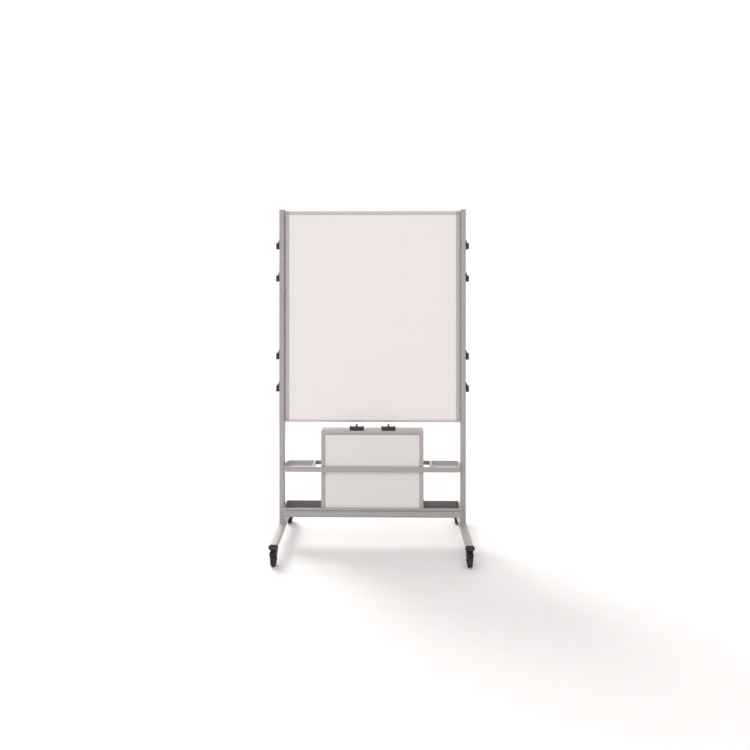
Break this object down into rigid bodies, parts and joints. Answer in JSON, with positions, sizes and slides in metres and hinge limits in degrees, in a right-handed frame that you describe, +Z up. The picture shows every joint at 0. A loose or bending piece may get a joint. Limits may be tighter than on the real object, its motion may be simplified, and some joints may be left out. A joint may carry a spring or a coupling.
{
  "type": "rolling whiteboard",
  "caption": "Double-sided whiteboard between two posts on castored feet, with a rack, pen trays and a bottom tray that store small boards upright.",
  "frame": {"origin": "on the floor, under the middle of the stand", "axes": "+X to the right along the board, -Y the front, +Z up"},
  "size_m": [0.9946, 0.623, 1.728],
  "materials": {
    "painted_frame": "satin",
    "aluminium_rail": "satin",
    "grey_plastic": "matte",
    "pen_tray_plastic": "matte",
    "writing_surface": "gloss",
    "black_plastic": "matte",
    "wheel_tread": "matte",
    "black_bolt": "satin",
    "bright_steel": "satin"
  },
  "bodies": {
    "frame": {"post_left": "painted_frame", "post_cap_left": "grey_plastic", "foot_left": "painted_frame", "foot_end_front_left": "black_plastic", "foot_end_rear_left": "black_plastic", "post_right": "painted_frame", "post_cap_right": "grey_plastic", "foot_right": "painted_frame", "foot_end_front_right": "black_plastic", "foot_end_rear_right": "black_plastic", "board_panel": "writing_surface", "board_rail_top": "aluminium_rail", "board_rail_bottom": "aluminium_rail", "board_rail_left": "aluminium_rail", "board_rail_right": "aluminium_rail", "board_corner_bottom_left": "grey_plastic", "board_corner_bottom_right": "grey_plastic", "board_corner_top_left": "grey_plastic", "board_corner_top_right": "grey_plastic", "bottom_tray": "painted_frame", "accessory_rack": "painted_frame", "pen_tray_left": "pen_tray_plastic", "pen_tray_right": "pen_tray_plastic", "hanger_left_1": "black_plastic", "hanger_left_2": "black_plastic", "hanger_left_3": "black_plastic", "hanger_left_4": "black_plastic", "hanger_right_1": "black_plastic", "hanger_right_2": "black_plastic", "hanger_right_3": "black_plastic", "hanger_right_4": "black_plastic"},
    "caster_front_left_swivel": {"caster_front_left_fork": "black_plastic", "caster_front_left_stem": "bright_steel", "caster_front_left_axle": "black_bolt"},
    "caster_front_left_wheel": {"caster_front_left_wheel": "wheel_tread"},
    "brake_pedal_left": {"brake_pedal_left": "black_plastic"},
    "caster_front_right_swivel": {"caster_front_right_fork": "black_plastic", "caster_front_right_stem": "bright_steel", "caster_front_right_axle": "black_bolt"},
    "caster_front_right_wheel": {"caster_front_right_wheel": "wheel_tread"},
    "brake_pedal_right": {"brake_pedal_right": "black_plastic"},
    "caster_rear_left_swivel": {"caster_rear_left_fork": "black_plastic", "caster_rear_left_stem": "bright_steel", "caster_rear_left_axle": "black_bolt"},
    "caster_rear_left_wheel": {"caster_rear_left_wheel": "wheel_tread"},
    "caster_rear_right_swivel": {"caster_rear_right_fork": "black_plastic", "caster_rear_right_stem": "bright_steel", "caster_rear_right_axle": "black_bolt"},
    "caster_rear_right_wheel": {"caster_rear_right_wheel": "wheel_tread"},
    "small_board_1": {"small_board_1_frame": "aluminium_rail", "small_board_1_panel": "writing_surface", "small_board_clip_left": "black_plastic", "small_board_clip_right": "black_plastic"},
    "small_board_2": {"small_board_2_frame": "aluminium_rail", "small_board_2_panel": "writing_surface"},
    "small_board_3": {"small_board_3_frame": "aluminium_rail", "small_board_3_panel": "writing_surface"},
    "small_board_4": {"small_board_4_frame": "aluminium_rail", "small_board_4_panel": "writing_surface"}
  },
  "joints": [
    {"name": "caster_front_left_swivel_turn", "type": "hinge", "parent": "frame", "child": "caster_front_left_swivel", "pos_m": [-0.468, -0.258, 0.077], "axis": [0, 0, 1], "continuous": true},
    {"name": "caster_front_left_wheel_roll", "type": "hinge", "parent": "caster_front_left_swivel", "child": "caster_front_left_wheel", "pos_m": [-0.468, -0.28, 0.0315], "axis": [1, 0, 0], "continuous": true},
    {"name": "brake_pedal_left_press", "type": "hinge", "parent": "caster_front_left_swivel", "child": "brake_pedal_left", "pos_m": [-0.468, -0.302, 0.061], "axis": [1, 0, 0], "range_deg": [0, 12]},
    {"name": "caster_front_right_swivel_turn", "type": "hinge", "parent": "frame", "child": "caster_front_right_swivel", "pos_m": [0.468, -0.258, 0.077], "axis": [0, 0, 1], "continuous": true},
    {"name": "caster_front_right_wheel_roll", "type": "hinge", "parent": "caster_front_right_swivel", "child": "caster_front_right_wheel", "pos_m": [0.468, -0.28, 0.0315], "axis": [1, 0, 0], "continuous": true},
    {"name": "brake_pedal_right_press", "type": "hinge", "parent": "caster_front_right_swivel", "child": "brake_pedal_right", "pos_m": [0.468, -0.302, 0.061], "axis": [1, 0, 0], "range_deg": [0, 12]},
    {"name": "caster_rear_left_swivel_turn", "type": "hinge", "parent": "frame", "child": "caster_rear_left_swivel", "pos_m": [-0.468, 0.258, 0.077], "axis": [0, 0, 1], "continuous": true},
    {"name": "caster_rear_left_wheel_roll", "type": "hinge", "parent": "caster_rear_left_swivel", "child": "caster_rear_left_wheel", "pos_m": [-0.468, 0.28, 0.0315], "axis": [1, 0, 0], "continuous": true},
    {"name": "caster_rear_right_swivel_turn", "type": "hinge", "parent": "frame", "child": "caster_rear_right_swivel", "pos_m": [0.468, 0.258, 0.077], "axis": [0, 0, 1], "continuous": true},
    {"name": "caster_rear_right_wheel_roll", "type": "hinge", "parent": "caster_rear_right_swivel", "child": "caster_rear_right_wheel", "pos_m": [0.468, 0.28, 0.0315], "axis": [1, 0, 0], "continuous": true},
    {"name": "small_board_1_lift", "type": "slide", "parent": "frame", "child": "small_board_1", "axis": [0, 0, 1], "range_m": [0, 0.3]},
    {"name": "small_board_2_lift", "type": "slide", "parent": "frame", "child": "small_board_2", "axis": [0, 0, 1], "range_m": [0, 0.3]},
    {"name": "small_board_3_lift", "type": "slide", "parent": "frame", "child": "small_board_3", "axis": [0, 0, 1], "range_m": [0, 0.03]},
    {"name": "small_board_4_lift", "type": "slide", "parent": "frame", "child": "small_board_4", "axis": [0, 0, 1], "range_m": [0, 0.03]}
  ]
}
